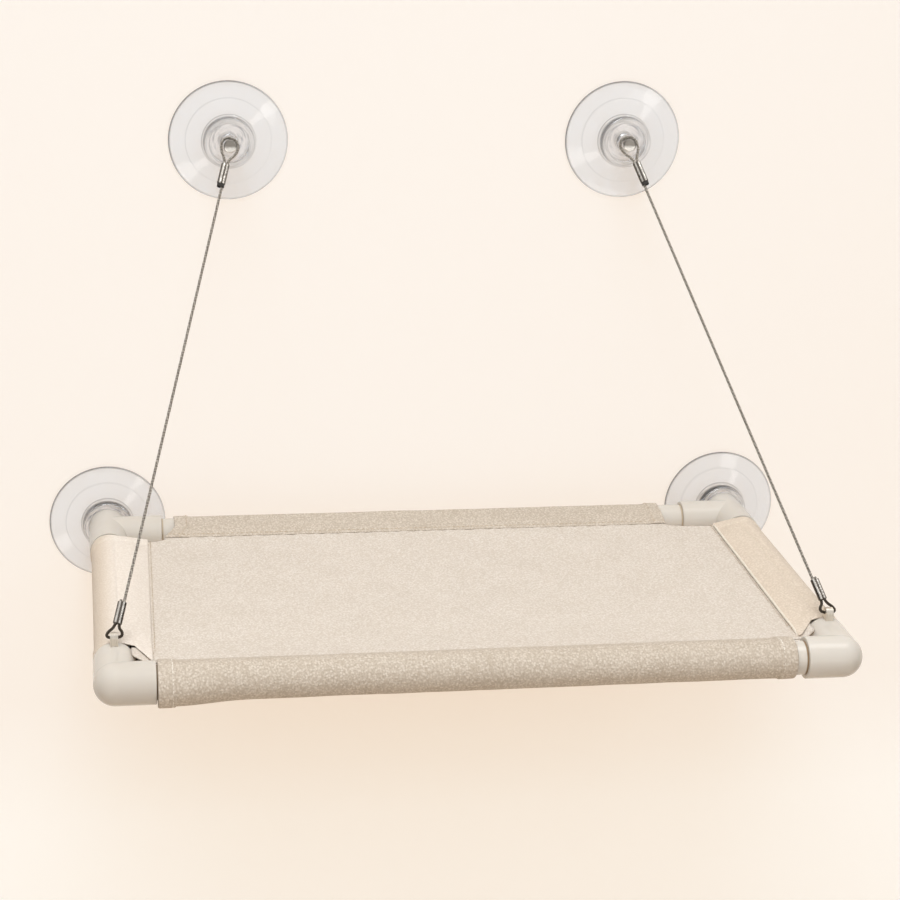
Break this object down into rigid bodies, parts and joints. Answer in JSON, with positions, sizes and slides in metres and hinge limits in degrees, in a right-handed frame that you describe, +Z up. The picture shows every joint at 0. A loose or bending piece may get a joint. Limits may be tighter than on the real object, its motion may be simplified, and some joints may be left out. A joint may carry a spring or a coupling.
{
  "type": "window mounted cat perch",
  "caption": "Fabric sling on a rectangular pipe frame that hangs on a window from suction cups and a pair of wire stay cables.",
  "frame": {"origin": "on the window glass, midway between the axes of the lower suction cups", "axes": "+X to the right as seen from the room, +Y into the window, +Z up"},
  "size_m": [0.662, 0.3795, 0.443],
  "materials": {
    "pipe_plastic": "off-white extruded plastic, satin gloss",
    "fitting_plastic": "off-white moulded plastic, satin gloss",
    "plated_steel": "zinc plated, smooth",
    "wire_rope": "fine stranded wire rope, right-hand lay",
    "ferrule_metal": "crimped sleeve, polished",
    "black_rubber": "black rubber collar",
    "clear_vinyl": "soft clear vinyl, glossy, slightly milky",
    "sling_fabric": "cream plain-weave cloth",
    "piping_cord": "corded edge in the same cloth"
  },
  "bodies": {
    "frame": {"front_rail": "pipe_plastic", "rear_rail": "pipe_plastic", "left_rail": "pipe_plastic", "right_rail": "pipe_plastic", "front_left_elbow": "fitting_plastic", "front_right_elbow": "fitting_plastic", "rear_left_tee": "fitting_plastic", "rear_right_tee": "fitting_plastic", "rear_left_plug": "fitting_plastic", "rear_right_plug": "fitting_plastic", "left_cable_eye": "plated_steel", "right_cable_eye": "plated_steel", "sling_panel": "sling_fabric", "front_sleeve": "sling_fabric", "rear_sleeve": "sling_fabric", "left_sleeve": "sling_fabric", "right_sleeve": "sling_fabric", "left_piping": "piping_cord", "right_piping": "piping_cord"},
    "left_cable_link": {"left_cable": "wire_rope", "left_lower_ferrule": "ferrule_metal", "left_upper_ferrule": "ferrule_metal", "left_upper_collar": "black_rubber"},
    "upper_left_cup_and_peg": {"upper_left_cup": "clear_vinyl", "upper_left_peg": "plated_steel"},
    "lower_left_cup_and_stud": {"lower_left_cup": "clear_vinyl", "lower_left_stud": "plated_steel"},
    "right_cable_link": {"right_cable": "wire_rope", "right_lower_ferrule": "ferrule_metal", "right_upper_ferrule": "ferrule_metal", "right_upper_collar": "black_rubber"},
    "upper_right_cup_and_peg": {"upper_right_cup": "clear_vinyl", "upper_right_peg": "plated_steel"},
    "lower_right_cup_and_stud": {"lower_right_cup": "clear_vinyl", "lower_right_stud": "plated_steel"}
  },
  "joints": [
    {"name": "left_cable_swing", "type": "hinge", "parent": "frame", "child": "left_cable_link", "pos_m": [-0.28, -0.326, 0.0218], "axis": [1, 0, 0], "range_deg": [0, 135]},
    {"name": "upper_left_cup_spin", "type": "hinge", "parent": "left_cable_link", "child": "upper_left_cup_and_peg", "pos_m": [-0.172, -0.02545, 0.341], "axis": [0, 1, 0], "continuous": true},
    {"name": "lower_left_cup_pull", "type": "slide", "parent": "frame", "child": "lower_left_cup_and_stud", "axis": [0, 1, 0], "range_m": [0, 0.02]},
    {"name": "right_cable_swing", "type": "hinge", "parent": "frame", "child": "right_cable_link", "pos_m": [0.28, -0.326, 0.0218], "axis": [1, 0, 0], "range_deg": [0, 135]},
    {"name": "upper_right_cup_spin", "type": "hinge", "parent": "right_cable_link", "child": "upper_right_cup_and_peg", "pos_m": [0.172, -0.02545, 0.341], "axis": [0, 1, 0], "continuous": true},
    {"name": "lower_right_cup_pull", "type": "slide", "parent": "frame", "child": "lower_right_cup_and_stud", "axis": [0, 1, 0], "range_m": [0, 0.02]}
  ]
}
